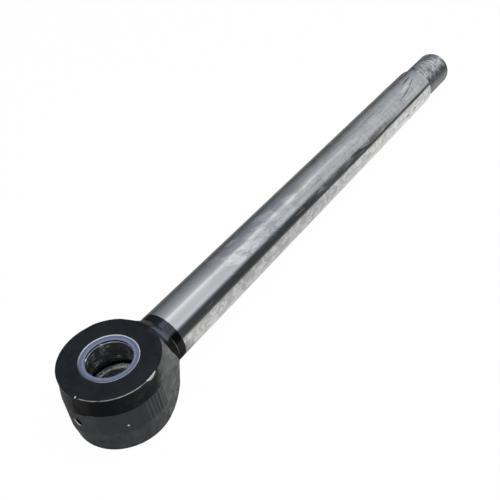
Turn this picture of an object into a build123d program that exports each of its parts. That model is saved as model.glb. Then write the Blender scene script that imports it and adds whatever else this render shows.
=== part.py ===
"""Rod of a hydraulic cylinder: chromed bar, forged eye, two pin bushes and two dust seals.

Millimetres. The origin is the centre of the pin bore, halfway through the eye.
+Z runs along the pin bore and +X runs along the bar, towards its threaded end.
"""

import os
from math import cos, hypot, radians, sin

from build123d import *

# Bar: a chromed length, then a spigot that takes the piston and its nut
rod_d = 80.0
chrome_start_x = 99.2
chrome_end_x = 937.0
rod_end_x = 1037.0
thread_step = 4.0
chrome_chamfer = 1.5
thread_chamfer = 2.5
thread_relief_width = 5.0
thread_relief_depth = 1.5

# Eye: a thick disc whose flanks run in to the bar
eye_d = 142.0
eye_thickness = 103.0
flank_angle = 72.0
face_chamfer = 0.7

# The side of the eye is set back a little halfway up, where it was left as forged
band_half_height = 19.6
band_depth = 1.0
lower_slope_height = 10.0

# Swelling of the forging round the grease port: a barrel with drafted ends, set off to the back
swell_angle = 165.0
swell_offset = 18.0
swell_rise = 3.1
swell_end_sink = 0.2
swell_top_z = 47.0
swell_top_draft = 27.0
swell_bottom_z = -50.6
swell_bottom_draft = 20.6

# Shoulder: a sphere about the bore centre, and a hollow cove from it down to the neck
shoulder_r = 88.0
shoulder_end_x = 61.1
neck_x = 85.0
neck_lip = 0.8
cove_sagitta = 1.8

# Bore, and what is pressed into it
pin_d = 65.0
bush_wall = 7.5
bore_chamfer = 1.2
bush_inset = 5.0
upper_bush_end_z = 14.0
lower_bush_end_z = -5.5
bush_chamfer = 0.9

# Grease groove around the bore, which both bushes leave open to the pin
groove_half_width = 14.0
groove_depth = 2.5

# Grease port in the back of the eye
port_angle = 178.6
port_z = -2.4
port_d = 11.0
port_depth = 14.0
port_mouth_d = 14.0
port_way_d = 6.0

# Dust seal: a flat rim in the bore's mouth and a lip that leans in to the pin
seal_recess = 0.5
seal_rim_width = 2.3
seal_step = 0.5
seal_lip_clearance = 0.4
seal_lip_drop = 0.9
seal_foot_width = 4.6

# Values that follow from the ones above
rod_r = rod_d / 2
thread_r = rod_r - thread_step
eye_r = eye_d / 2
half = eye_thickness / 2
swell_r = eye_r + swell_rise - swell_offset
swell_end_r = eye_r - swell_end_sink - swell_offset
pin_r = pin_d / 2
bore_r = pin_r + bush_wall
bush_outer_z = half - bush_inset
neck_r = rod_r + neck_lip
overrun = 1.0


def turned(points, axis):
    """Closed outline turned about an axis: (radius, z) about Z, or (x, radius) about X."""
    outline = Polyline(*points, close=True)
    plane = Plane.XZ if axis == Axis.Z else Plane.XY
    return revolve(plane * make_face(outline), axis)


def plan_outline(radius):
    """The eye seen along the bore: a circle and the two straight flanks that leave it."""
    c, s = cos(radians(flank_angle)), sin(radians(flank_angle))
    far_x = neck_x + overrun
    far_y = (radius - far_x * c) / s
    near = (radius * c, radius * s)
    flanks = Polygon(near, (near[0], -near[1]), (far_x, -far_y), (far_x, far_y), align=None)
    return Circle(radius) + flanks


def outer_band(slope_height):
    """One smooth band of the eye's side: eased at the face, sloped back at its inner end."""
    band = extrude(plan_outline(eye_r), half - band_half_height)
    band = chamfer(band.faces().sort_by(Axis.Z)[-1].edges(), face_chamfer)
    foot = band.faces().sort_by(Axis.Z)[0]
    band = chamfer(foot.edges(), band_depth, slope_height, reference=foot)
    return Pos(0, 0, band_half_height) * band


def swelling():
    """The barrel that swells out of the eye's back, where the grease port goes in."""
    profile = [
        (0, swell_bottom_z),
        (swell_end_r, swell_bottom_z),
        (swell_r, swell_bottom_z + swell_bottom_draft),
        (swell_r, swell_top_z - swell_top_draft),
        (swell_end_r, swell_top_z),
        (0, swell_top_z),
    ]
    barrel = turned(profile, Axis.Z)
    return Rot(0, 0, swell_angle) * Pos(swell_offset, 0, 0) * barrel


def head_limit():
    """Sphere, cove and neck, turned about the bar. The eye lies inside this shape."""
    shoulder_end_r = (shoulder_r**2 - shoulder_end_x**2) ** 0.5
    back = (-shoulder_r, 0)
    crown = (0, shoulder_r)
    shoulder = (shoulder_end_x, shoulder_end_r)
    neck = (neck_x, neck_r)
    run_x, run_r = neck[0] - shoulder[0], neck[1] - shoulder[1]
    chord = hypot(run_x, run_r)
    middle = (
        (shoulder[0] + neck[0]) / 2 + cove_sagitta * run_r / chord,
        (shoulder[1] + neck[1]) / 2 - cove_sagitta * run_x / chord,
    )
    outline = ThreePointArc(back, crown, shoulder)
    outline += ThreePointArc(shoulder, middle, neck)
    outline += Polyline(neck, (neck_x, 0), back)
    return revolve(make_face(outline), Axis.X)


def bore_space():
    """The pin bore with both chamfered mouths and the grease groove round its middle."""
    mouth_r = bore_r + bore_chamfer
    groove_r = bore_r + groove_depth
    top = [
        (bore_r, groove_half_width),
        (bore_r, half - bore_chamfer),
        (mouth_r, half),
        (mouth_r, half + overrun),
        (0, half + overrun),
    ]
    bottom = [(r, -z) for r, z in reversed(top)]
    groove = [(groove_r, -groove_half_width), (groove_r, groove_half_width)]
    return turned(bottom + groove + top, Axis.Z)


def port_space():
    """Tapped grease port with an eased mouth, and the narrow way on into the groove."""
    aside = radians(port_angle - swell_angle)
    surface = swell_offset * cos(aside) + (swell_r**2 - (swell_offset * sin(aside)) ** 2) ** 0.5
    mouth_depth = (port_mouth_d - port_d) / 2
    profile = [
        (bore_r, 0),
        (bore_r, port_way_d / 2),
        (surface - port_depth, port_way_d / 2),
        (surface - port_depth, port_d / 2),
        (surface - mouth_depth, port_d / 2),
        (surface, port_mouth_d / 2),
        (surface + overrun, port_mouth_d / 2),
        (surface + overrun, 0),
    ]
    return Pos(0, 0, port_z) * Rot(0, 0, port_angle) * turned(profile, Axis.X)


def rod_eye():
    """The forged eye, up to the collar that carries on flush with the bar."""
    middle = extrude(plan_outline(eye_r - band_depth), half, both=True)
    middle = middle & Box(4 * eye_r, 4 * eye_r, 2 * (band_half_height + overrun))
    upper = outer_band(band_depth)
    lower = mirror(outer_band(lower_slope_height), about=Plane.XY)
    eye = (middle + upper + lower) & head_limit()
    collar_start_x = neck_x - overrun
    collar = turned(
        [(collar_start_x, 0), (collar_start_x, rod_r), (chrome_start_x, rod_r), (chrome_start_x, 0)],
        Axis.X,
    )
    return eye + swelling() + collar - bore_space() - port_space()


def rod_bar():
    """The chromed bar and its spigot, with a relief groove where the thread runs out."""
    relief_end_x = chrome_end_x + thread_relief_width
    relief_r = thread_r - thread_relief_depth
    profile = [
        (chrome_start_x, 0),
        (chrome_start_x, rod_r),
        (chrome_end_x - chrome_chamfer, rod_r),
        (chrome_end_x, rod_r - chrome_chamfer),
        (chrome_end_x, relief_r),
        (relief_end_x - thread_relief_depth, relief_r),
        (relief_end_x, thread_r),
        (rod_end_x - thread_chamfer, thread_r),
        (rod_end_x, thread_r - thread_chamfer),
        (rod_end_x, 0),
    ]
    return turned(profile, Axis.X)


def bush(outer_z, inner_z):
    """A plain steel bush between two heights, eased where the pin goes in."""
    up = 1 if outer_z > inner_z else -1
    profile = [
        (pin_r + bush_chamfer, outer_z),
        (bore_r, outer_z),
        (bore_r, inner_z),
        (pin_r, inner_z),
        (pin_r, outer_z - up * bush_chamfer),
    ]
    return turned(profile, Axis.Z)


def dust_seal():
    """The upper dust seal, which sits on the upper bush."""
    top_z = half - seal_recess
    rim_r = bore_r - seal_rim_width
    lip_r = pin_r + seal_lip_clearance
    profile = [
        (bore_r, bush_outer_z),
        (bore_r, top_z),
        (rim_r, top_z),
        (rim_r - seal_step, top_z - seal_step),
        (lip_r, top_z - seal_lip_drop),
        (bore_r - seal_foot_width, bush_outer_z),
    ]
    return turned(profile, Axis.Z)


seal = dust_seal()

parts = {
    "rod_eye": rod_eye(),
    "rod_bar": rod_bar(),
    "upper_bush": bush(bush_outer_z, upper_bush_end_z),
    "lower_bush": bush(-bush_outer_z, lower_bush_end_z),
    "upper_dust_seal": seal,
    "lower_dust_seal": mirror(seal, about=Plane.XY),
}

os.makedirs("parts", exist_ok=True)
for name, part in parts.items():
    solid = part.solid()
    solid.label = name
    export_step(solid, f"parts/{name}.step")
    box = solid.bounding_box()
    print(f"{name}: {len(part.solids())} solid, {solid.volume / 1000:.1f} cm3, {box.min} to {box.max}")
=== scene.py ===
# %% [markdown]
# # The rod of a hydraulic cylinder
# A long chromed bar carries a forged eye at one end and a thread at the other. The eye takes the pin of a
# digger's arm. The CAD model already holds every piece in its place, so this script loads it, gives the
# turned pieces the smooth surfaces that a mirror finish needs, and then makes each finish in turn. All
# sizes are those of the CAD model, in metres. The bar lies along X, the pin bore stands along Z, and the
# origin is the centre of the bore.

# %% Load the CAD model
import bpy
import numpy as np
from mathutils import Matrix


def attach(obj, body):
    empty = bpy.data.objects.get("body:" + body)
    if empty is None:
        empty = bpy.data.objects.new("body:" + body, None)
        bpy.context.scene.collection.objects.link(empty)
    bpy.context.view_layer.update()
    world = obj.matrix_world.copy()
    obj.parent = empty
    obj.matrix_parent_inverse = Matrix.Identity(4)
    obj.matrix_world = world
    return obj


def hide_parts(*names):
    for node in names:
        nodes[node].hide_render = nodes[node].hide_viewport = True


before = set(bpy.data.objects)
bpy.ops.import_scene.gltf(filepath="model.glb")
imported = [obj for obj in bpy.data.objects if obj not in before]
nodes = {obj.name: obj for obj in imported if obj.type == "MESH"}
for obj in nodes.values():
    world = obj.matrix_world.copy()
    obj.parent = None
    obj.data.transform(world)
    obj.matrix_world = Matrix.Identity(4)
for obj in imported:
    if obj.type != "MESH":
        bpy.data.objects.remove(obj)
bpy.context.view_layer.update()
print("CAD nodes:", ", ".join(sorted(nodes)))

# %% [markdown]
# ## Turned surfaces
# A lathe makes a piece by carrying a profile round an axis, and the same idea makes the mesh: a profile of
# (place along the axis, radius) goes round the axis in equal steps. A plain cylinder with a bevel would do
# for a pin, but not for a thread, whose radius changes as it goes round. So the surface is worked out as
# two grids, one of places and one of radii. Real edges are never quite sharp, and a mirror finish shows
# it, so every corner of a profile is first eased by a small curve.

# %% Ease the corners of a profile
def eased(points, reach, steps=3):
    """Cuts each inner corner by a parabola that starts and ends `reach` away from it:
    p(t) = (1-t)^2 a + 2t(1-t) corner + t^2 b."""
    points = np.asarray(points, float)
    t = np.linspace(0, 1, steps + 1)[:, None]
    pieces = [points[:1]]
    for before, corner, after in zip(points[:-2], points[1:-1], points[2:]):
        a = corner + (before - corner) * min(0.45, reach / np.linalg.norm(before - corner))
        b = corner + (after - corner) * min(0.45, reach / np.linalg.norm(after - corner))
        pieces.append((1 - t) ** 2 * a + 2 * t * (1 - t) * corner + t**2 * b)
    pieces.append(points[-1:])
    return np.vstack(pieces)


# %% Join the points of a grid by faces
def grid_faces(rows, columns, closed):
    """Four-cornered faces between neighbours. The columns close into a ring, and closed also joins the
    last row to the first. The point in a row and column has the number row * columns + column."""
    row = np.arange(rows if closed else rows - 1)[:, None]
    column = np.arange(columns)[None, :]
    next_row, next_column = (row + 1) % rows, (column + 1) % columns
    corners = [(row, column), (row, next_column), (next_row, next_column), (next_row, column)]
    return np.stack([r * columns + c for r, c in corners], axis=-1).reshape(-1, 4).tolist()


def end_fans(rows, columns):
    """Triangles that close both ends of the grid. Its first row goes to the point that follows the grid,
    and its last row to the point after that."""
    ring = np.arange(columns)
    end = (rows - 1) * columns + ring
    first = np.full(columns, rows * columns)
    fans = [(first, np.roll(ring, -1), ring), (first + 1, end, np.roll(end, -1))]
    return np.concatenate([np.stack(fan, axis=-1) for fan in fans]).tolist()


def new_piece(name, vertices, faces):
    """A smooth mesh object, with its place in its mesh."""
    mesh = bpy.data.meshes.new(name)
    mesh.from_pydata(vertices.tolist(), [], faces)
    mesh.polygons.foreach_set("use_smooth", np.ones(len(mesh.polygons), bool))
    mesh.update()
    piece = bpy.data.objects.new(name, mesh)
    bpy.context.scene.collection.objects.link(piece)
    print(f"{name}: {len(vertices)} points, {len(faces)} faces")
    return piece


# %% Carry a profile round an axis
def lathe(name, along, radius, axis="Z", closed=True):
    """A surface of turning. along and radius are grids: rows go down the profile, columns go round.
    A point is (r cos a, r sin a, along) about Z, or (along, r cos a, r sin a) about X.
    closed joins the last row to the first; otherwise each end row shrinks to a point on the axis."""
    rows, columns = radius.shape
    angle = np.linspace(0, 2 * np.pi, columns, endpoint=False)[None, :]
    flat = (radius * np.cos(angle), radius * np.sin(angle))
    grid = (along, *flat) if axis == "X" else (*flat, along)
    vertices = np.stack(grid, axis=-1).reshape(-1, 3)
    faces = grid_faces(rows, columns, closed)
    if not closed:
        poles = np.zeros((2, 3))
        poles[:, 0 if axis == "X" else 2] = along[0, 0], along[-1, 0]
        vertices = np.vstack([vertices, poles])
        faces += end_fans(rows, columns)
    return new_piece(name, vertices, faces)


def turned_ring(name, profile, columns=144):
    """A ring about Z with the same section all the way round. The profile is (along, radius)."""
    profile = np.asarray(profile)
    grid = np.repeat(profile[:, :, None], columns, axis=2)
    return lathe(name, grid[:, 0], grid[:, 1])


# %% [markdown]
# ## The bar and its thread
# The bar is one piece of steel. Its chromed length ends in a small chamfer, then comes a narrow relief
# groove and the thread that holds the piston. The CAD model has all of this but the thread, which would
# take too many facets there. A thread could be swept along a helix and cut out, but it is simpler as a
# turned surface whose radius depends on where it is: the groove moves on by one pitch with each turn, so
# the phase is x / pitch - angle / (2 pi). It fades in past the relief and out at the end chamfer.

# %% Sizes of the bar
BAR_R = 0.040
COLLAR_END = 0.0992
CHROME_END = 0.937
CHROME_CHAMFER = 0.0015
RELIEF_R = 0.0345
RELIEF_END = CHROME_END + 0.005
RELIEF_SLOPE = 0.0015
ROD_END = 1.037
THREAD_R = 0.036
THREAD_PITCH = 0.002
THREAD_DEPTH = 0.0012
THREAD_CHAMFER = 0.0025
BAR_COLUMNS = 160
PITCH_ROWS = 6
print("bar radius", BAR_R, "thread radius", THREAD_R, "pitch", THREAD_PITCH)

# %% Profile of the bar
chromed = eased(
    [
        (COLLAR_END, BAR_R - 0.001),
        (COLLAR_END, BAR_R),
        (CHROME_END - CHROME_CHAMFER, BAR_R),
        (CHROME_END, BAR_R - CHROME_CHAMFER),
        (CHROME_END, RELIEF_R),
        (RELIEF_END - RELIEF_SLOPE, RELIEF_R),
        (RELIEF_END, THREAD_R),
        (RELIEF_END + 0.0005, THREAD_R),
    ],
    0.0004,
)
spigot_end = ROD_END - THREAD_CHAMFER
spigot_x = np.arange(RELIEF_END + 0.0007, spigot_end - 0.0002, THREAD_PITCH / PITCH_ROWS)
spigot = np.stack([spigot_x, np.full(len(spigot_x), THREAD_R)], axis=1)
tip = eased(
    [
        (spigot_end - 0.0001, THREAD_R),
        (spigot_end, THREAD_R),
        (ROD_END, THREAD_R - THREAD_CHAMFER),
        (ROD_END, 0.001),
    ],
    0.0006,
)
bar_profile = np.vstack([chromed, spigot, tip])
print("bar profile:", len(bar_profile), "points")

# %% Cut the thread and make the bar
def fade(x, start, end):
    """Smooth step from 0 at start to 1 at end: t^2 (3 - 2t)."""
    t = np.clip((x - start) / (end - start), 0, 1)
    return t * t * (3 - 2 * t)


bar_x = np.repeat(bar_profile[:, :1], BAR_COLUMNS, axis=1)
bar_r = np.repeat(bar_profile[:, 1:], BAR_COLUMNS, axis=1)
turn = np.arange(BAR_COLUMNS)[None, :] / BAR_COLUMNS
phase = (bar_x / THREAD_PITCH - turn) % 1
groove = np.clip(1.25 - np.abs(phase - 0.5) * 3.2, 0, 1)
depth = THREAD_DEPTH * fade(bar_x, RELIEF_END, RELIEF_END + 0.003)
depth = depth * (1 - fade(bar_x, ROD_END - 0.004, ROD_END - 0.0015))
bar = lathe("turned_bar", bar_x, bar_r - depth * groove, "X", closed=False)
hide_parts("rod_bar")
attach(bar, "root")

# %% [markdown]
# ## Bushes and dust seals
# Two plain steel bushes line the bore, with a gap between them for grease. Above and below them sits a
# dust seal, a moulded ring of violet polyurethane whose lip leans in towards the pin. They could be kept
# from the CAD model, but its facets would show in the wet-looking steel and on the seal's rim. So each is
# turned anew from its section, which goes round as a closed loop: a ring has no ends to close.

# %% Bushes
PIN_R = 0.0325
BORE_R = 0.040
BUSH_OUTER = 0.0465
UPPER_BUSH_END = 0.014
LOWER_BUSH_END = -0.0055
BUSH_CHAMFER = 0.0009
BACK_CHAMFER = 0.0004
EASE = 0.0003


def loop_of(section):
    """A closed section with eased corners: its ends are lapped over, so that they are eased as well."""
    return eased(section[-1:] + section + section[:1], EASE)[1:-1]


def bush(name, outer, inner):
    """A plain ring between two heights, with an eased edge where the pin goes in."""
    way = np.sign(outer - inner)
    section = [
        (outer, PIN_R + BUSH_CHAMFER),
        (outer, BORE_R - BACK_CHAMFER),
        (outer - way * BACK_CHAMFER, BORE_R),
        (inner + way * BACK_CHAMFER, BORE_R),
        (inner, BORE_R - BACK_CHAMFER),
        (inner, PIN_R + BUSH_CHAMFER),
        (inner + way * BUSH_CHAMFER, PIN_R),
        (outer - way * BUSH_CHAMFER, PIN_R),
    ]
    loop = loop_of(section)
    piece = turned_ring(name, loop if way > 0 else loop[::-1])
    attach(piece, "root")
    return piece


upper_bush = bush("upper_turned_bush", BUSH_OUTER, UPPER_BUSH_END)
lower_bush = bush("lower_turned_bush", -BUSH_OUTER, LOWER_BUSH_END)
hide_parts("upper_bush")
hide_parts("lower_bush")

# %% Dust seals
HALF = 0.0515
SEAL_TOP = HALF - 0.0005


def dust_seal(name, side):
    """The seal's section: rim, small groove, then the lip that slopes to the pin and its hollow back."""
    section = [
        (BUSH_OUTER, BORE_R),
        (SEAL_TOP, BORE_R),
        (SEAL_TOP, 0.0377),
        (SEAL_TOP - 0.0006, 0.0373),
        (SEAL_TOP - 0.0002, 0.0368),
        (SEAL_TOP - 0.0005, 0.0340),
        (SEAL_TOP - 0.0010, 0.0329),
        (BUSH_OUTER, 0.0354),
    ]
    loop = loop_of(section) * (side, 1)
    piece = turned_ring(name, loop[::-1] if side > 0 else loop)
    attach(piece, "root")
    return piece


upper_seal = dust_seal("upper_seal_ring", 1)
lower_seal = dust_seal("lower_seal_ring", -1)
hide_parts("upper_dust_seal")
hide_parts("lower_dust_seal")

# %% [markdown]
# ## Formulas in place of wires
# A finish is a formula: this much scratch here, that much shine there. Node trees say the same thing
# with boxes and wires. The small class below lets the formula be written as Python, and adds one Math
# node for each sign. Colours go through Mix nodes instead, because a Math node would turn them grey.

# %% A wire that can be reckoned with
class Wire:
    """One output socket. Arithmetic with wires or numbers adds Math nodes and gives a new wire."""

    def __init__(self, tree, socket):
        self.tree, self.socket = tree, socket

    def math(self, operation, *values):
        return add(self.tree, "ShaderNodeMath", {"operation": operation}, dict(enumerate(values)))

    def __add__(self, other):
        return self.math("ADD", self, other)

    def __radd__(self, other):
        return self.math("ADD", other, self)

    def __sub__(self, other):
        return self.math("SUBTRACT", self, other)

    def __rsub__(self, other):
        return self.math("SUBTRACT", other, self)

    def __mul__(self, other):
        return self.math("MULTIPLY", self, other)

    def __rmul__(self, other):
        return self.math("MULTIPLY", other, self)

    def __truediv__(self, other):
        return self.math("DIVIDE", self, other)

    def __rtruediv__(self, other):
        return self.math("DIVIDE", other, self)

    def __pow__(self, other):
        return self.math("POWER", self, other)

    def __neg__(self):
        return self.math("MULTIPLY", self, -1)

    def __abs__(self):
        return self.math("ABSOLUTE", self)


def add(tree, kind, settings=None, values=None, output=0):
    """Adds a node: its settings first, then its input sockets by number or name. Gives one output."""
    node = tree.nodes.new(kind)
    for key, value in (settings or {}).items():
        setattr(node, key, value)
    for key, value in (values or {}).items():
        socket = node.inputs[key]
        if isinstance(value, Wire):
            tree.links.new(value.socket, socket)
        else:
            socket.default_value = value
    return Wire(tree, node.outputs[output])


# %% Steps and masks
def ramp(wire, start, end, low=0.0, high=1.0):
    """Smooth step: low below start, high above end. start may be the larger one."""
    values = {"Value": wire, "From Min": start, "From Max": end, "To Min": low, "To Max": high}
    return add(wire.tree, "ShaderNodeMapRange", {"interpolation_type": "SMOOTHSTEP"}, values)


def between(wire, start, end, soft):
    """1 between two values and 0 outside them, with soft edges."""
    return ramp(wire, start - soft, start + soft) * ramp(wire, end + soft, end - soft)


def spot(u, v, at_u, at_v, radius):
    """A round mark: 1 inside the radius round a place, with a soft edge. u and v are in metres."""
    away = ((u - at_u) ** 2.0 + (v - at_v) ** 2.0) ** 0.5
    return ramp(away, radius, radius * 0.45)


# %% Colours
BLACK = (0.0, 0.0, 0.0)
WHITE = (1.0, 1.0, 1.0)


def colour_mix(factor, first, second, blend="MIX"):
    """Mix of two colours. Each is a wire or an (r, g, b)."""
    full = [c if isinstance(c, Wire) else (*c, 1.0) for c in (first, second)]
    settings = {"data_type": "RGBA", "blend_type": blend}
    return add(factor.tree, "ShaderNodeMix", settings, {0: factor, 6: full[0], 7: full[1]}, 2)


# %% Places and noise
def place(tree):
    """The place on the piece, in metres, as Object coordinates give it."""
    return add(tree, "ShaderNodeTexCoord", output=3)


def split(vector):
    """The three coordinates of a vector, as three wires."""
    first = add(vector.tree, "ShaderNodeSeparateXYZ", values={0: vector})
    outputs = first.socket.node.outputs
    return first, Wire(vector.tree, outputs[1]), Wire(vector.tree, outputs[2])


def join(tree, x, y, z):
    """A vector from three wires or numbers."""
    return add(tree, "ShaderNodeCombineXYZ", values={0: x, 1: y, 2: z})


def noise(vector, scale, detail=3.0, rough=0.55, bend=0.0):
    """Cloudy noise from 0 to 1 around 0.5. bend twists it on itself."""
    values = {"Vector": vector, "Scale": scale, "Detail": detail, "Roughness": rough, "Distortion": bend}
    return add(vector.tree, "ShaderNodeTexNoise", values=values)


def bump(height, strength, distance):
    """Small relief that only turns the normal."""
    values = {"Height": height, "Strength": strength, "Distance": distance}
    return add(height.tree, "ShaderNodeBump", values=values)


# %% Make a finish and put it on a piece
def finish_of(name, build, constants, matt_shade=None):
    """A material with one Principled shader. build(tree) gives the wires for its varying inputs, and
    also one more wire, for where a second shader, made from the last argument's constants, takes its place
    as painted shade."""
    material = bpy.data.materials.new(name)
    material.use_nodes = True
    tree = material.node_tree
    shader = next(node for node in tree.nodes if node.type == "BSDF_PRINCIPLED")
    for key, value in constants.items():
        shader.inputs[key].default_value = value
    wires = build(tree)
    if matt_shade:
        second = add(tree, "ShaderNodeBsdfPrincipled", values=matt_shade)
        both = {0: wires.pop("Dull"), 1: Wire(tree, shader.outputs[0]), 2: second}
        mixed = add(tree, "ShaderNodeMixShader", values=both)
        output = next(node for node in tree.nodes if node.type == "OUTPUT_MATERIAL")
        tree.links.new(mixed.socket, output.inputs["Surface"])
    for key, wire in wires.items():
        tree.links.new(wire.socket, shader.inputs[key])
    print(f"finish {name}: {len(tree.nodes)} nodes")
    return material


def dress(piece, material):
    """Puts one material on every face of a piece."""
    slots = piece.data.materials
    if not slots:
        slots.append(material)
    for number in range(len(slots)):
        slots[number] = material


# %% [markdown]
# ## Marks on the bar
# Years of work leave scratches along the bar and nicks where stones hit it. They could be painted on a
# picture, but a formula stays sharp at any distance. The bar's surface is unrolled into a flat sheet: x
# runs along the bar, and the arc runs round it from the top, towards the viewer. On that sheet a scratch
# is a line, pointed at both ends, and a torn patch of oil is an oval with a broken edge.

# %% Unroll the bar
def around(y, z):
    """Angle round the bar in degrees: 0 at the top, 90 on the side that faces the viewer."""
    return y.math("ARCTAN2", -y, z) * (180 / np.pi)


def arc_at(degrees):
    """Length of arc from the top to an angle."""
    return degrees * np.pi / 180 * BAR_R


print("one degree round the bar is", round(arc_at(1) * 1000, 3), "mm")

# %% Scratches, and a painted reflection: start (x, degrees), end (x, degrees), half width
DARK_STROKES = [
    # The first stroke thickens the mirrored dark line of the horizon: a painted reflection.
    ((0.918, 67.0), (0.765, 64.5), 0.0018),
    ((0.588, 48), (0.686, 66), 0.0022),
    ((0.500, 66), (0.660, 65), 0.0012),
    ((0.912, 2), (0.864, 5.5), 0.0022),
    ((0.906, 15), (0.870, 26), 0.0010),
    ((0.882, 25), (0.812, 39), 0.0013),
    ((0.866, 86), (0.842, 94), 0.0036),
    ((0.830, 89), (0.815, 94), 0.0030),
    ((0.924, 76), (0.921, 92), 0.0016),
    ((0.680, 8), (0.752, 7), 0.0007),
    ((0.700, 93), (0.672, 97), 0.0008),
]
LIGHT_STROKES = [
    ((0.905, 11), (0.836, 24), 0.0045),
    ((0.438, 58), (0.404, 57), 0.0011),
    ((0.505, 58), (0.470, 54), 0.0010),
    ((0.193, 79), (0.187, 82), 0.0016),
    ((0.180, 58), (0.160, 60), 0.0006),
    ((0.236, -30), (0.228, -26), 0.0012),
    ((0.292, -14), (0.270, -11), 0.0009),
    ((0.312, -24), (0.300, -21), 0.0012),
]


def stroke(x, arc, start, end, width):
    """A pointed mark between two places. With t from 0 to 1 along it, its half width is
    width * 4t(1-t)."""
    x0, a0 = start[0], arc_at(start[1])
    way = np.array([end[0] - x0, arc_at(end[1]) - a0])
    length = float(np.hypot(*way))
    ux, ua = (float(v) for v in way / length)
    t = ((x - x0) * ux + (arc - a0) * ua) / length
    off = abs((arc - a0) * ux - (x - x0) * ua) / width
    return ramp(off - 4 * t * (1 - t), 0.1, -0.5)


print(len(DARK_STROKES), "dark and", len(LIGHT_STROKES), "light strokes")

# %% Torn patches: x, degrees, half length, half width, strength
FLAKES = [
    (0.257, 31, 0.019, 0.0085, 0.8),
    (0.299, 31, 0.021, 0.0085, 0.9),
    (0.379, 26, 0.019, 0.0055, 0.45),
    (0.422, 14, 0.018, 0.0075, 0.35),
    (0.362, -3, 0.025, 0.0065, 0.6),
    (0.282, -11, 0.016, 0.0040, 0.6),
    (0.237, -10, 0.012, 0.0040, 0.4),
]
PATCH_SHEAR = 0.25


def torn_patch(x, arc, tatter, at_x, degrees, length, width):
    """An oval, sheared along the bar, whose edge is broken up by the noise `tatter`, which goes from
    -0.5 to 0.5. The patch is 1 where (dx / length)^2 + (da / width)^2 + 7 tatter < 0.4, and 0 past 1.
    The first two terms alone end it as well, between 1.3 and 1.9."""
    dx = x - at_x
    da = arc - arc_at(degrees) - dx * PATCH_SHEAR
    away = (dx / length) ** 2.0 + (da / width) ** 2.0
    return ramp(away + tatter * 7.0, 1.0, 0.4) * ramp(away, 1.9, 1.3)


print(len(FLAKES), "torn patches")

# %% [markdown]
# ## Chrome and the thread
# Hard chrome is a mirror, so most of its look is the room around it. What tells it from a perfect mirror
# is what lies on it: a film of oil, torn into patches where a hand wiped it, fine marks along and across
# the bar, and smudges. A film could be a second clear layer over the metal, but here it only has to turn
# dark reflections grey, so it takes away some of the metal and some of the gloss. The thread is bare
# turned steel, so one formula picks the finish by the place along the bar.

# %% Film and smudges
def film_on(tree, x, arc, angle):
    """Torn film: noise bent by a coarser noise, cut at a level, with a paler rim along the cut and the
    torn patches. Farther up comes a cloudier haze, with smudges above the dark line of the horizon.
    Gives film, rim, flake, haze and smudge, each 0 to 1."""
    bend = noise(join(tree, x * 7, arc * 20, 0.3), 1.0, 3, 0.6) - 0.5
    torn = noise(join(tree, x * 18 + bend * 3, arc * 46 + bend * 4, 0.0), 1.0, 9, 0.66, 0.4)
    far = ramp(x, 0.33, 0.52)
    zone = ramp(x, 0.19, 0.25) * ramp(angle, 60, 46) * ramp(angle + 24 * far, -12, 10)
    film = ramp(torn, 0.485, 0.505) * zone
    rim = between(torn, 0.482, 0.500, 0.005) * zone * ramp(x, 0.42, 0.36)
    tatter = noise(join(tree, x * 105 + bend * 2, arc * 290 - x * 50, 0.4), 1.0, 8, 0.75, 0.4) - 0.5
    flake = sum(strong * torn_patch(x, arc, tatter, *where) for *where, strong in FLAKES)
    haze = ramp(noise(join(tree, x * 24, arc * 60 + bend * 3, 0.8), 1.0, 8, 0.66, 0.2), 0.43, 0.57)
    haze = haze * far * ramp(angle, 64, 56)
    blot = noise(join(tree, x * 26, arc * 90 + bend * 3, 0.6), 1.0, 7, 0.68)
    smudge = ramp(blot, 0.40, 0.54) * between(angle, 49, 62, 4) * between(x, 0.44, 0.77, 0.05)
    return film, rim, flake, haze, smudge


def marbling(tree, x, arc, angle):
    """Swirled patches on the side that faces the floor. Gives the patches and the light veins
    between them, both cut out of one twisted noise."""
    twist = noise(join(tree, x * 16, arc * 16, 0.1), 1.0, 2, 0.5) - 0.5
    swirl = noise(join(tree, x * 58 + arc * 40 + twist * 4, arc * 84 - x * 14, 0.7), 1.0, 8, 0.64, 0.9)
    low_side = ramp(angle, 67, 72)
    return ramp(swirl, 0.46, 0.53) * low_side, between(swirl, 0.435, 0.465, 0.006) * low_side


# %% Fine marks
def fine_marks(tree, x, arc, angle, film, haze):
    """Changes of tone that are finer than the film. speck is in all places. grit lies along the far
    edge. cross marks run round the bar: in film, in haze, and farther up everywhere, more so on the
    viewer's side. brush marks run along it, and with the broader blocks they are strongest above the
    dark line of the horizon, farther up."""
    speck = noise(join(tree, x, arc, 0.0), 330, 3, 0.7) - 0.5
    grit = (noise(join(tree, x * 330, arc * 560, 0.6), 1.0, 2, 0.6) - 0.5) * ramp(angle, 6, -14)
    cross = noise(join(tree, x * 420, arc * 22, 0.2), 1.0, 3, 0.6) - 0.5
    brush = noise(join(tree, x * 13, arc * 230, 0.9), 1.0, 5, 0.68) - 0.5
    block = noise(join(tree, x * 44 + brush, arc * 70, 0.5), 1.0, 7, 0.72, 0.2) - 0.5
    crossed = 0.15 * haze + 0.12 * film + (0.15 + 0.3 * ramp(angle, 26, 46)) * ramp(x, 0.4, 0.6)
    upper = ramp(angle, 68, 60) * ramp(x, 0.26, 0.50)
    brushed = upper * (0.5 * brush + 0.55 * block) + 0.12 * brush
    return 0.14 * speck + 0.45 * grit + crossed * cross + brushed


# %% Steel of the thread
STEEL_DARK = (0.26, 0.27, 0.29)
RELIEF_SHADE = (0.12, 0.125, 0.13)
FACED_SHADES = ((0.35, 0.36, 0.37), (0.75, 0.76, 0.77))


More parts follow.
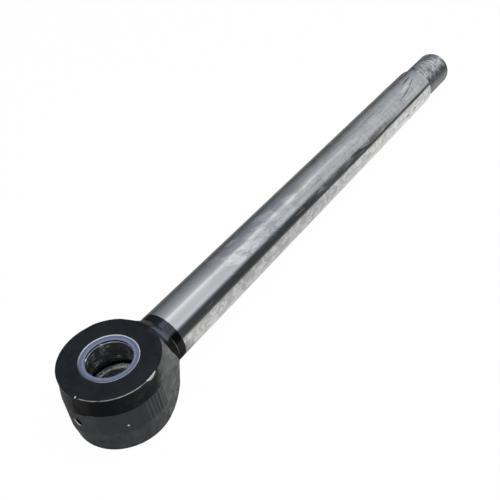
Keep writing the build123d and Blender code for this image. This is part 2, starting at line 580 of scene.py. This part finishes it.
def thread_steel(tree, x, y, z, arc, angle):
    """Bright scuffs that run round the thread, over a duller ground, fading towards the lower side as
    painted shade, and a painted shade in the relief groove. The end face has the rings that facing leaves:
    noise of the distance from the axis. Gives colour and roughness."""
    scuff = noise(join(tree, x * 260, arc * 60, 0.0), 1.0, 5, 0.7)
    patch = noise(join(tree, x * 40, arc * 40, 0.5), 1.0, 3, 0.6)
    # The scuffs fade towards the lower side: painted shade.
    bright = ramp(scuff * 0.65 + patch * 0.35, 0.42, 0.60) * ramp(angle, 78, 50, 0.15, 1.0)
    steel = colour_mix(bright, STEEL_DARK, WHITE)
    # The relief groove is darkened: painted shade.
    steel = colour_mix(ramp(x, RELIEF_END, RELIEF_END - 0.002) * 0.8, steel, RELIEF_SHADE)
    rings = noise(join(tree, ((y * y + z * z) ** 0.5) * 900, 0.0, 0.0), 1.0, 3, 0.6)
    end_face = ramp(x, ROD_END - 0.0006, ROD_END - 0.0003)
    steel = colour_mix(end_face, steel, colour_mix(rings, *FACED_SHADES))
    return steel, 0.30 + 0.16 * patch * (1 - end_face)


# %% Chrome finish
SMUDGE_TINT = (1.0, 0.94, 0.86)
FILM_TINT = (0.95, 0.985, 1.03)
DARKEST = 0.13


def chrome_build(tree):
    """Tone of the mirror, from 0 to 1: what lies on it takes away from the clean chrome or adds to it.
    Past the chrome's end the steel of the thread takes over."""
    x, y, z = split(place(tree))
    angle = around(y, z)
    arc = angle * arc_at(1)
    film, rim, flake, haze, smudge = film_on(tree, x, arc, angle)
    marble, vein = marbling(tree, x, arc, angle)
    dark = sum(stroke(x, arc, *mark) for mark in DARK_STROKES)
    light = sum(stroke(x, arc, *mark) for mark in LIGHT_STROKES)
    hair = ramp(noise(join(tree, x * 5, arc * 520, 0.0), 1.0, 2, 0.5), 0.66, 0.74)

    tone = 0.76 + 0.08 * ramp(x, 0.25, 0.16) - 0.15 * film + 0.05 * film * ramp(x, 0.38, 0.46)
    tone = tone + 0.16 * rim + 0.27 * flake - 0.03 * haze - 0.36 * smudge - 0.19 * marble + 0.13 * vein
    tone = tone - 0.55 * dark + 0.14 * light + fine_marks(tree, x, arc, angle, film, haze)
    plate = colour_mix(tone.math("MAXIMUM", tone, DARKEST), BLACK, WHITE)
    plate = colour_mix(smudge, plate, SMUDGE_TINT, "MULTIPLY")
    bluish = film * (1 - ramp(flake, 0.0, 0.4)) * ramp(x, 0.46, 0.38)
    plate = colour_mix(bluish, plate, FILM_TINT, "MULTIPLY")

    thread = ramp(x, CHROME_END - 0.0002, CHROME_END + 0.0004)
    steel, steel_rough = thread_steel(tree, x, y, z, arc, angle)
    rough = 0.03 + 0.035 * film + 0.08 * haze + 0.08 * smudge + 0.04 * hair + 0.05 * marble
    matter = 0.05 * film + 0.04 * haze + 0.10 * rim + 0.10 * flake + 0.12 * light
    relief = hair * 0.1 + film * 0.25 + haze * 0.2 + marble * 0.3 + dark
    return {
        "Base Color": colour_mix(thread, plate, steel),
        "Roughness": rough * (1 - thread) + steel_rough * thread,
        "Metallic": 1 - matter * (1 - thread),
        "Normal": bump(relief, 0.12, 0.0003),
    }


chrome = finish_of("chrome_plate", chrome_build, {"Specular IOR Level": 0.3})
dress(bar, chrome)

# %% [markdown]
# ## Where the eye's paint changes
# The eye was forged, and its faces and the upper and lower bands of its side were turned smooth. Then it
# was painted black. The paint takes on what lies under it: glassy on the turned faces, the cove and the
# collar, and grainy on the forged band in the middle. Each of these could be a separate mesh, but they
# are one forging under one coat, so the eye keeps one mesh, and masks find its parts by their shape: a
# height, a distance from the bore or an angle round it.

# %% Bands of the side
EYE_R = 0.071
FLANK_ANGLE = 72.0
BAND = 0.0196


def side_bands(tree, x, y, z, radius, angle):
    """The side is where the reach is the eye's radius: the distance from the bore's axis on the round
    part, and the distance along the flank's own normal on the flat flanks. Gives the side, its part
    below the ragged upper band, the lower band, and the painted shadow under the step at the upper band's
    foot."""
    flank_way = np.radians(FLANK_ANGLE)
    flank_reach = x * np.cos(flank_way) + abs(y) * np.sin(flank_way)
    past = ramp(x, 0.0200, 0.0225)
    reach = radius * (1 - past) + flank_reach * past
    side = ramp(abs(z), HALF - 0.0005, HALF - 0.0009) * ramp(reach, EYE_R - 0.0022, EYE_R - 0.0014)
    ragged = (noise(join(tree, angle * 0.12, 0.0, 0.4), 1.0, 4, 0.6) - 0.5) * 0.004
    level = z + ragged + 0.0045 * ramp(y, -0.045, 0.020) * ramp(x, 0.0, -0.03)
    forged = side * ramp(level, BAND + 0.0006, BAND)
    lower = side * ramp(level, -BAND + 0.001, -BAND - 0.0015)
    step_shadow = side * between(level, BAND, BAND + 0.0012, 0.0005) * ramp(angle, -66, -72)
    return side, forged, lower, step_shadow


# %% Painted light on the shoulder and the flanks
SHOULDER_R = 0.088
NECK_END = 0.085


def light_on_shoulder_and_flank(x, z, from_centre, angle, side):
    """Share of painted light: the turned sphere of the shoulder and the flank on the viewer's side, both
    less towards the top face.
    """
    shoulder = ramp(from_centre, SHOULDER_R - 0.0005, SHOULDER_R - 0.0002)
    shoulder = shoulder * ramp(x, NECK_END - 0.014, NECK_END - 0.022)
    flank = ramp(angle, -88, -62) * ramp(x, 0.0, 0.030)
    lit_share = shoulder * (1 - side) * ramp(z, HALF - 0.001, HALF - 0.014, 0.62, 0.85)
    return lit_share + side * flank * ramp(z, HALF, HALF - 0.02, 0.6, 1.0)


# %% Swelling round the grease port
SWELL_ANGLE = 165.0
SWELL_OFFSET = 0.018
SWELL_R = 0.0561
SWELL_DRAFT = 0.0033


def paler_back(x, y, z, side, forged):
    """The swelling is a barrel with drafted ends, set off towards the back. Where it stands out past
    the band it is a little paler, and the back that turns away from the viewer is paler still, a painted
    reflection."""
    way = np.radians(SWELL_ANGLE)
    swell_x, swell_y = float(SWELL_OFFSET * np.cos(way)), float(SWELL_OFFSET * np.sin(way))
    reach = ((x - swell_x) ** 2.0 + (y - swell_y) ** 2.0) ** 0.5
    drafted = (ramp(z, 0.020, 0.047) + ramp(z, -0.030, -0.0506)) * SWELL_DRAFT
    back = side * ramp(x, -0.040, -0.060)
    swollen = ramp(reach + drafted, SWELL_R + 0.0012, SWELL_R - 0.0002) * back
    return swollen * forged * 0.12 + back * ramp(y, 0.0, 0.034) * 0.6


# %% Ridges of the forging: lean in degrees, strength
RIDGES = [(-100, 0.3), (-94.6, 0.5), (-90, 0.35), (-85.3, 0.6), (-79.6, 0.8), (-76, 0.4), (-70.3, 1.0)]
RIDGE_LEAN = 44


def forge_ridges(tree, z, angle, band):
    """The forging's own marks, nearly upright: each stays at one lean, which is the angle round the eye
    plus a share of the height. Gives the fine grooves and the pale ridges on the middle band."""
    lean = angle + z * RIDGE_LEAN
    grooves = noise(join(tree, lean * 0.62, z * 5, 0.0), 1.0, 3, 0.55)
    ridges = sum(between(lean, middle - 0.7, middle + 0.7, 0.6) * strong for middle, strong in RIDGES)
    return grooves, ridges * (0.6 + 0.8 * grooves) * band


# %% Cove and collar
def neck_of(x, y, z, side):
    """Masks of the neck: all of it, its top, which gets a painted bluish highlight, the cove alone, the
    light lip at the cove's end, and the share of its lower side that gets a matt black as painted shade,
    which is full in the cove and about half on the collar."""
    round_bar = around(y, z)
    neck = ramp(x, NECK_END - 0.026, NECK_END - 0.016) * (1 - side)
    top = neck * between(round_bar, 12, 46, 2)
    cove = neck * ramp(x, NECK_END + 0.0006, NECK_END - 0.0002)
    lip = between(x, NECK_END - 0.0009, NECK_END + 0.0002, 0.0002) * between(round_bar, 55, 100, 6)
    low = cove + (1 - cove) * ramp(round_bar, 60, 76)
    matt_shade = neck * ramp(round_bar, 45, 51) * (1 - lip) * (0.55 + 0.45 * cove) * low
    return neck, top, cove, lip, matt_shade


# %% [markdown]
# ## Where the eye's paint is gone
# Handling rubs paint through on sharp edges first: here a thin line on the edge towards the viewer, one
# worn patch on it and two chips. The mouths of the bore and of the grease port are bare too. Wear could
# be found by curvature, but it lies only where the rod was knocked, so each place is given one by one.

# %% Rubbed edge, and chips: angle in degrees, height, radius
WORN_AT = -85.5
WORN_HALF = 7.5
WORN_DEEP = 0.0045
CHIPS = [(-125.5, -0.007, 0.0021), (-173, HALF - 0.0008, 0.0015)]


def rubbed_edge(point, z, radius, angle):
    """The thin line on the upper edge, broken by noise, and the worn patch, a lens that reaches down by
    deep * (1 - ((angle - at) / half)^2)."""
    edge = ramp(radius, EYE_R - 0.0013, EYE_R - 0.0008) * ramp(z, 0.0, 0.01)
    wear = ramp(noise(point, 60, 4, 0.6), 0.3, 0.62, 0.08, 0.5)
    line = between(abs(z), HALF - 0.0009, HALF - 0.0001, 0.0002) * between(angle, -168, -80, 3) * wear
    lens = WORN_DEEP * (1 - ((angle - WORN_AT) / WORN_HALF) ** 2.0)
    patch = ramp(HALF - z - lens, 0.0004, -0.0004)
    patch = patch * between(angle, WORN_AT - WORN_HALF, WORN_AT + WORN_HALF, 0.5)
    return edge * (line + patch)


def chips_on(z, radius, angle):
    """Chips are spots on the unrolled side, each given by its angle, height and radius."""
    arc = angle * (np.pi / 180 * EYE_R)
    chips = sum(spot(arc, z, np.radians(at) * EYE_R, height, size) for at, height, size in CHIPS)
    return chips * ramp(radius, EYE_R - 0.003, EYE_R - 0.002)


print(len(CHIPS), "chips")

# %% Bare mouths
PORT_ANGLE = 178.6
PORT_Z = -0.0024
PORT_R = 0.0055


def bore_mouth(z, radius, angle):
    """The bore's chamfer, bright all round but for a dark stretch at the back of the eye, with its
    outer corner rubbed bright on the viewer's side."""
    height = abs(z)
    mouth = ramp(radius, BORE_R + 0.00145, BORE_R + 0.0012) * ramp(height, HALF - 0.0020, HALF - 0.0013)
    mouth = mouth * (0.12 + 0.75 * between(angle, -150, 120, 30))
    corner = between(radius, BORE_R + 0.0011, BORE_R + 0.0017, 0.0002) * between(angle, -150, -15, 20)
    return mouth + corner * ramp(height, HALF - 0.0006, HALF - 0.0003) * 0.8


def port_mouth(x, y, z):
    """The port's eased edge is bare in a crescent on its lower side. Gives that, and the inside, painted
    in shade.
    """
    way = np.radians(PORT_ANGLE)
    across = y * np.cos(way) - x * np.sin(way)
    from_port = (across**2.0 + (z - PORT_Z) ** 2.0) ** 0.5
    at_port = ramp(x, -0.040, -0.044)
    crescent = between(from_port, PORT_R + 0.0006, PORT_R + 0.0015, 0.0002)
    crescent = crescent * ramp(z - PORT_Z + across * 0.8, -0.0015, -0.0050)
    inside = ramp(from_port, PORT_R + 0.0011, PORT_R + 0.0007)
    return crescent * at_port * 0.9, inside * at_port * (1 - crescent)


# %% [markdown]
# ## Black paint
# The masks now pick from a few shades. The broad ones are pairs, darker and lighter, mixed by a mottled
# noise, because old paint is never even. Some shades are painted light and shade: the deeper black of the
# side and the neck, the sheen of the side, the bluish highlight on the neck, the grey of the lower band,
# part of the forged band's grey, and the light on the shoulder and the flank. On the lower side of the
# cove and the collar, which lie in shade, a matt black shader is mixed in as painted shade, because a
# colour can't take the shine away.

# %% Shades of the paint
FACE_SHADES = ((0.0012, 0.0028, 0.0052), (0.0065, 0.0100, 0.0145))
# The forged band's greys are partly its own mottled tone and partly painted light from the floor.
FORGED_AND_LIT_SHADES = ((0.027, 0.035, 0.037), (0.056, 0.064, 0.067))
# The lower band's greys are a painted reflection of the floor.
LOWER_REFLECTION_SHADES = ((0.034, 0.042, 0.043), (0.070, 0.078, 0.079))
# Greys of the light painted onto the shoulder and the flank.
LIT_SHADES = ((0.078, 0.085, 0.083), (0.200, 0.206, 0.202))
# The side's deeper black is painted shade, and its sheen is a painted sheen.
BAND_SHADE_BLACK = (0.0005, 0.0005, 0.0010)
BAND_SHEEN = (0.026, 0.028, 0.029)
# The neck's deeper black is painted shade, and its blue is a painted highlight.
NECK_SHADE_BLACK = (0.0005, 0.001, 0.002)
NECK_HIGHLIGHT_BLUE = (0.002, 0.010, 0.020)
LIP_GREY = (0.30, 0.31, 0.31)
RIDGE_GREY = (0.20, 0.205, 0.20)
BARE_STEEL = (0.82, 0.84, 0.86)
SHADOW = (0.002, 0.002, 0.002)
# A matt black, mixed in where the neck lies in shade: painted shade.
SHADE_MATT_BLACK = {"Base Color": (0.010, 0.010, 0.010, 1), "Roughness": 0.6, "Specular IOR Level": 0.02}

# %% Paint finish
def glossy_black(side, angle, patchy, neck, top, lip):
    """Colour of the smooth parts: the faces, the turned bands of the side and the neck, with the
    side's and the neck's painted shade, sheen and highlight.
    """
    black = colour_mix(patchy, *FACE_SHADES)
    # The side's turned bands are painted a deeper black as shade, and lighter towards the viewer as a
    # painted sheen.
    black = colour_mix(side * 0.8, black, BAND_SHADE_BLACK)
    black = colour_mix(side * ramp(angle, -145, -95) * (0.4 + 0.6 * patchy), black, BAND_SHEEN)
    # The neck is painted a deeper black as shade, and bluish on its top as a painted highlight.
    black = colour_mix(neck, black, NECK_SHADE_BLACK)
    black = colour_mix(top, black, NECK_HIGHLIGHT_BLUE)
    return colour_mix(lip * 0.5, black, LIP_GREY)


def paint_build(tree):
    """Finds the parts of the eye, then lays their shades over each other, from the smooth black up to
    the bare steel, and last the painted shade under the step and inside the port."""
    point = place(tree)
    x, y, z = split(point)
    radius = (x * x + y * y) ** 0.5
    from_centre = (x * x + y * y + z * z) ** 0.5
    angle = y.math("ARCTAN2", y, x) * (180 / np.pi)
    side, forged, lower, step_shadow = side_bands(tree, x, y, z, radius, angle)
    lit_share = light_on_shoulder_and_flank(x, z, from_centre, angle, side)
    grooves, ridges = forge_ridges(tree, z, angle, forged * (1 - lower))
    neck, top, cove, lip, matt_shade = neck_of(x, y, z, side)
    crescent, port_dark = port_mouth(x, y, z)
    bare = rubbed_edge(point, z, radius, angle) + chips_on(z, radius, angle)
    bare = bare + bore_mouth(z, radius, angle) + crescent

    cloud = noise(point, 28, 4, 0.6, 0.4)
    mottle = noise(point, 75, 6, 0.7, 0.5)
    patchy = ramp(mottle * 0.5 + cloud * 0.5, 0.36, 0.62)
    blotchy = ramp(mottle, 0.3, 0.7)
    pale = colour_mix(blotchy, *LIT_SHADES)
    colour = glossy_black(side, angle, patchy, neck, top, lip)
    # The forged band's grey is partly its own mottled tone and partly painted light from the floor, spread
    # by its rough paint.
    colour = colour_mix(forged, colour, colour_mix(mottle, *FORGED_AND_LIT_SHADES))
    # The lower band is painted lighter grey: a painted reflection of the floor.
    colour = colour_mix(lower, colour, colour_mix(blotchy, *LOWER_REFLECTION_SHADES))
    # Light painted onto the shoulder, the flank and the right part of the lower band.
    colour = colour_mix(lit_share + lower * ramp(angle, -112, -85) * 0.3, colour, pale)
    colour = colour_mix(ridges * 0.8, colour, RIDGE_GREY)
    # The back that turns away from the viewer is made paler as a painted reflection.
    colour = colour_mix(paler_back(x, y, z, side, forged), colour, pale)
    colour = colour_mix(bare, colour, BARE_STEEL)
    # Painted shadow under the upper band's step, and painted shade inside the port.
    colour = colour_mix(step_shadow * 0.8 + port_dark, colour, SHADOW)
    rough = 0.11 + 0.06 * cloud + 0.35 * forged - 0.08 * lower + 0.22 * lit_share + 0.1 * bare - 0.07 * neck
    relief = noise(point, 420, 3, 0.6) * 0.12 + (noise(point, 900, 2, 0.5) * 0.5 + grooves) * forged
    return {
        "Base Color": colour,
        "Roughness": rough,
        "Metallic": bare * 0.4,
        "Coat Weight": top * (1 - 0.3 * cove),
        "Dull": matt_shade,
        "Normal": bump(relief, 0.25, 0.0004),
    }


paint = finish_of("black_paint", paint_build, {"Specular IOR Level": 0.5}, SHADE_MATT_BLACK)
dress(nodes["rod_eye"], paint)

# %% [markdown]
# ## Bush steel and seal
# The bushes are ground steel, dark with grease and marked round their inside by the pin. The edge of the
# lower one is painted pale: painted light that reaches it from above through the bore. An anisotropic
# shine could make streaks, but these are dirt and not brushing, so they are noise of the turn round the
# bore, the height and the radius, stretched until its spots become streaks. The seals are moulded
# polyurethane: satin, a little cloudy, with a painted shade in the step beside the rim. Plain noise is
# enough for them.

# %% Bush finish
STEEL_TINT = (0.88, 0.97, 1.0)


def bush_build(tree):
    """Dark grease over steel, the wall darker towards the back of the eye, with light streaks round the
    wall, a painted highlight on the edge where the pin goes in, and painted light on the edge of the lower
    bush, where light from above reaches it through the bore, strongest on the sides of the bar and of the
    viewer."""
    x, y, z = split(place(tree))
    radius = (x * x + y * y) ** 0.5
    turn = y.math("ARCTAN2", y, x)
    rings = noise(join(tree, turn * 1.2, z * 900, 0.0), 1.0, 4, 0.6)
    score = noise(join(tree, turn * 3 + z * 30, z * 800, 0.3), 1.0, 3, 0.5)
    marks = ramp(score, 0.55, 0.61) * ramp(noise(join(tree, turn * 2, z * 40, 0.1), 1.0, 2), 0.42, 0.6)
    grease = noise(join(tree, turn * 2, z * 60, 0.0), 1.4, 4, 0.6, 0.6)
    # The eased edge where the pin goes in is made lighter: a painted highlight.
    edge = ramp(radius, PIN_R + 0.0012, PIN_R + 0.0004) * ramp(radius, PIN_R + 0.00004, PIN_R + 0.0002)
    # A pale, broken strip on the lower bush's edge is painted light from above, through the bore.
    ledge = between(z, LOWER_BUSH_END - 0.0024, LOWER_BUSH_END + 0.001, 0.0004)
    to_bar = ramp(turn, 1.3, 0.2)
    ledge_break = noise(join(tree, turn * 9, radius * 900, z * 900), 1.0, 5, 0.7)
    lit_ledge = ramp(ledge_break + 0.09 * to_bar, 0.49, 0.58) * ledge * (0.75 + 0.25 * to_bar)
    tone = (0.03 + 0.17 * grease) * ramp(turn, 2.5, 1.4, 0.35, 1.0) + 0.95 * marks + 0.3 * edge
    colour = colour_mix(tone, BLACK, STEEL_TINT)
    return {
        "Base Color": colour_mix(lit_ledge, colour, WHITE),
        "Roughness": 0.2 + 0.2 * grease,
        "Metallic": 0.6 - 0.55 * lit_ledge,
        "Normal": bump(rings + lit_ledge * 4, 0.2, 0.0001),
    }


bush_steel = finish_of("bush_steel", bush_build, {})
dress(upper_bush, bush_steel)
dress(lower_bush, bush_steel)

# %% Seal finish
SEAL_BODY = ((0.09, 0.11, 0.205), (0.13, 0.155, 0.265))
SEAL_LIP = ((0.125, 0.155, 0.26), (0.175, 0.21, 0.33))
# The dark of the seal's step is painted shade.
SEAL_STEP_SHADE = (0.04, 0.05, 0.10)


def seal_build(tree):
    """Cloudy violet, lighter on the thin lip, with a painted shade line in the step between rim and lip.
    """
    point = place(tree)
    x, y, _ = split(point)
    radius = (x * x + y * y) ** 0.5
    cloud = noise(point, 55, 3, 0.6)
    colour = colour_mix(
        ramp(radius, 0.0376, 0.0364),
        colour_mix(cloud, *SEAL_BODY),
        colour_mix(cloud, *SEAL_LIP),
    )
    return {
        # A dark line in the seal's step: painted shade.
        "Base Color": colour_mix(between(radius, 0.0371, 0.0375, 0.0002) * 0.6, colour, SEAL_STEP_SHADE),
        "Roughness": 0.38 + 0.15 * cloud,
        "Normal": bump(noise(point, 700, 2), 0.1, 0.0002),
    }


seal = finish_of("seal_polyurethane", seal_build, {})
dress(upper_seal, seal)
dress(lower_seal, seal)

# %% [markdown]
# ## Camera
# The photograph was taken from the eye's end, looking down the bar, with the camera held a little askew.
# A camera could be placed by eye, but then nothing else would line up. Its place and its three turning
# angles were worked out from the circles of the bore and of the eye and from the bar's straight edges.

# %% Camera: heading, pitch and roll in degrees, place in bar radii
HEADING, PITCH, ROLL = np.radians([39.647, 39.659, 7.273])
CAMERA_AT = np.array([-8.7925, -13.8687, 18.0100]) * BAR_R
FOCAL_PIXELS = 690.75
PHOTO_PIXELS = 500
SENSOR = 36.0

forward = np.array([np.cos(HEADING) * np.cos(PITCH), np.sin(HEADING) * np.cos(PITCH), -np.sin(PITCH)])
level = np.cross(forward, [0, 0, 1])
level /= np.linalg.norm(level)
down = np.cross(forward, level)
right = np.cos(ROLL) * level + np.sin(ROLL) * down
lower_way = -np.sin(ROLL) * level + np.cos(ROLL) * down
camera = bpy.data.objects.new("camera", bpy.data.cameras.new("camera"))
camera.data.sensor_width = SENSOR
camera.data.lens = FOCAL_PIXELS / PHOTO_PIXELS * SENSOR
camera.data.shift_x = -0.001
camera.data.shift_y = 0.001
camera.data.clip_end = 100
turn_to = np.stack([right, -lower_way, -forward], axis=1)
camera.matrix_world = Matrix.Translation(CAMERA_AT) @ Matrix(turn_to.tolist()).to_4x4()
bpy.context.scene.collection.objects.link(camera)
bpy.context.scene.camera = camera
print("camera at", np.round(CAMERA_AT, 3), "lens", round(camera.data.lens, 2), "mm")

# %% [markdown]
# ## Floor
# The rod lies on its eye and on the far end of its chrome, so the floor slopes under it by less than a
# degree. The camera sees it white. A mirror would show an even white floor as an even white strip, but
# the real chrome shows a sheet of paper with ends, so mirrors are shown such a sheet instead.

# %% What each kind of ray sees
def rays(tree):
    """Two wires: 1 for what the camera sees, and 1 for what a mirror or a gloss shows."""
    camera_ray = add(tree, "ShaderNodeLightPath")
    return camera_ray, Wire(tree, camera_ray.socket.node.outputs["Is Glossy Ray"])


def floor_build(tree):
    """White to the camera, with a little of the real floor's shadow. Mirrors see a lit sheet of paper
    beside the bar that falls off towards the viewer and stays dim beyond the bar, and that is dark next to
    the eye as a painted shadow of it."""
    x, y, _ = split(place(tree))
    camera_ray, glossy_ray = rays(tree)
    paper = 0.55 + 0.17 * ramp(x, 0.50, 0.85)
    paper_end = -0.60 + 0.24 * ramp(x, 0.60, 1.0)
    outside = 0.12 * ramp(x, -0.10, -0.25)
    # The sheet is dark where x is under 0.10 m: a painted shadow of the eye, as mirrors see it.
    near = ramp(y, paper_end, -0.13) * paper * ramp(x, 0.10, 0.15) + 0.08 + outside
    glow = 0.05 + 0.10 * ramp(x, 0.25, 0.5) * ramp(x, 1.15, 0.6)
    beyond = 0.13 + glow * between(y, 0.16, 0.42, 0.08) + outside
    sheet = near * ramp(y, 0.03, -0.01) + beyond * ramp(y, -0.01, 0.03)
    diffuse = add(tree, "ShaderNodeBsdfDiffuse", values={"Color": (0.8, 0.8, 0.8, 1)})
    white = add(tree, "ShaderNodeEmission", values={"Color": (1, 1, 1, 1), "Strength": 1.0})
    seen = add(tree, "ShaderNodeMixShader", values={0: camera_ray * 0.985, 1: diffuse, 2: white})
    shown = colour_mix(sheet, BLACK, (1.0, 1.0, 0.99))
    mirrored = add(tree, "ShaderNodeEmission", values={"Color": shown, "Strength": 1.0})
    return add(tree, "ShaderNodeMixShader", values={0: glossy_ray, 1: seen, 2: mirrored})


# %% Floor
EYE_FOOT = 0.066
FLOOR_REACH = 30.0
slope = (HALF - BAR_R) / (CHROME_END - EYE_FOOT)
floor_mesh = bpy.data.meshes.new("floor")
edges = [(-1, -1), (1, -1), (1, 1), (-1, 1)]
corners = np.array(edges) * FLOOR_REACH
heights = -HALF + (corners[:, 0] - EYE_FOOT) * slope
floor_mesh.from_pydata(np.column_stack([corners, heights]).tolist(), [], [(0, 1, 2, 3)])
floor = bpy.data.objects.new("floor", floor_mesh)
bpy.context.scene.collection.objects.link(floor)
floor_paint = bpy.data.materials.new("floor_white")
floor_paint.use_nodes = True
floor_tree = floor_paint.node_tree
floor_tree.nodes.clear()
surface = floor_build(floor_tree)
floor_output = floor_tree.nodes.new("ShaderNodeOutputMaterial")
floor_tree.links.new(surface.socket, floor_output.inputs["Surface"])
floor_mesh.materials.append(floor_paint)
print("floor slopes", round(float(np.degrees(np.arctan(slope))), 2), "degrees")

# %% [markdown]
# ## Room
# A mirror needs a room: a broad soft light overhead, a dim wall beyond the bar and a dark one behind the
# camera give the chrome its bands. Walls and lamps could be built, but every band that the bar shows comes
# from one direction, so the room is a table of directions and brightness. The bands change along the
# bar, and with the distance the mirrored ray leans more along it, so three tables follow each other.

# %% Table of a room
SKY_TINT = np.array([0.96, 1.0, 1.045])
DEEP_TINT = np.array([0.88, 1.0, 1.13])
CHROME_SHARE = 0.75


def room_ramp(wire, table):
    """A colour ramp from stops of (degrees from straight up towards the viewer, sRGB brightness that
    chrome shows there). The brightness is made linear and divided by chrome's own share. Dark stops
    are bluer than light ones."""
    node = wire.tree.nodes.new("ShaderNodeValToRGB")
    wire.tree.links.new(wire.socket, node.inputs[0])
    elements = node.color_ramp.elements
    while len(elements) > 1:
        elements.remove(elements[-1])
    for number, (degrees, brightness) in enumerate(table):
        position = degrees / 360 + 0.5
        value = ((brightness / 255 + 0.055) / 1.055) ** 2.4 / CHROME_SHARE
        light = float(np.clip((value - 0.1) / 0.5, 0, 1))
        element = elements[0] if number == 0 else elements.new(position)
        element.position = position
        element.color = (*((SKY_TINT * light + DEEP_TINT * (1 - light)) * value), 1)
    return Wire(wire.tree, node.outputs[0])


NEAR_ROOM = [
    (-106, 104), (-98, 80), (-90, 70), (-74, 87), (-58, 104), (-42, 122), (-26, 140), (-10, 168),
    (-4, 208), (2, 208), (8, 190), (20, 177), (36, 177), (46, 188), (54, 152), (60, 90), (66, 57),
    (92, 57), (96, 70),
]
MIDDLE_ROOM = [
    (-106, 84), (-90, 60), (-74, 76), (-58, 96), (-42, 130), (-26, 146), (-10, 166), (-3, 188),
    (8, 178), (22, 168), (38, 172), (54, 164), (62, 136), (78, 106), (87, 96), (91, 70), (96, 68),
]
FAR_ROOM = [
    (-106, 80), (-90, 62), (-74, 98), (-58, 125), (-42, 150), (-26, 154), (-10, 164), (0, 172),
    (38, 172), (54, 176), (70, 170), (80, 165), (88, 134), (91, 80), (96, 60),
]
print("room tables:", len(NEAR_ROOM), len(MIDDLE_ROOM), len(FAR_ROOM), "stops")

# %% Room
world = bpy.data.worlds.new("room")
bpy.context.scene.world = world
world.use_nodes = True
sky = world.node_tree
sky.nodes.clear()
way_x, way_y, way_z = split(add(sky, "ShaderNodeTexCoord", output=0))
across_bar = way_x.math("ARCTAN2", -way_y, way_z) * (1 / (2 * np.pi)) + 0.5
along_bar = way_x / (way_y * way_y + way_z * way_z) ** 0.5
near_room, middle_room, far_room = (
    room_ramp(across_bar, table) for table in (NEAR_ROOM, MIDDLE_ROOM, FAR_ROOM)
)
room = colour_mix(ramp(along_bar, 0.80, 0.94), near_room, middle_room)
room = colour_mix(ramp(along_bar, 1.08, 1.34), room, far_room)
camera_ray, glossy_ray = rays(sky)
plain = add(sky, "ShaderNodeBackground", values={"Color": (1, 1, 1, 1), "Strength": 0.55})
shown = add(sky, "ShaderNodeBackground", values={"Color": room, "Strength": 1.0})
white = add(sky, "ShaderNodeBackground", values={"Color": (1, 1, 1, 1), "Strength": 1.0})
lit = add(sky, "ShaderNodeMixShader", values={0: glossy_ray, 1: plain, 2: shown})
seen = add(sky, "ShaderNodeMixShader", values={0: camera_ray, 1: lit, 2: white})
world_output = sky.nodes.new("ShaderNodeOutputWorld")
sky.links.new(seen.socket, world_output.inputs["Surface"])
print("room:", len(sky.nodes), "nodes")

# %% [markdown]
# ## Lamp
# The world already lights the rod evenly. One broad softbox overhead adds the soft shadow under the eye
# and the depth inside the bore. Mirrors don't show it, because the room's table already has it.

# %% Lamp
LAMP_AT = np.array([0.3, -0.5, 2.0])
LAMP_AIM = np.array([0.3, 0.0, 0.0])
lamp = bpy.data.lights.new("overhead_softbox", "AREA")
lamp.size = 1.6
lamp.energy = 26
softbox = bpy.data.objects.new("overhead_softbox", lamp)
beam = (LAMP_AIM - LAMP_AT) / np.linalg.norm(LAMP_AIM - LAMP_AT)
sideways = np.cross(beam, [0, 1, 0.01])
sideways /= np.linalg.norm(sideways)
lamp_turn = np.stack([sideways, np.cross(sideways, beam), -beam], axis=1)
softbox.matrix_world = Matrix.Translation(LAMP_AT) @ Matrix(lamp_turn.tolist()).to_4x4()
softbox.visible_glossy = False
bpy.context.scene.collection.objects.link(softbox)
print("softbox", lamp.size, "m wide,", lamp.energy, "W")

# %% [markdown]
# ## Look
# The Standard view shows each colour as it is written. A filmic one would soften the whites, but then the
# shades above would no longer come out as they stand.

# %% View
bpy.context.scene.view_settings.view_transform = "Standard"
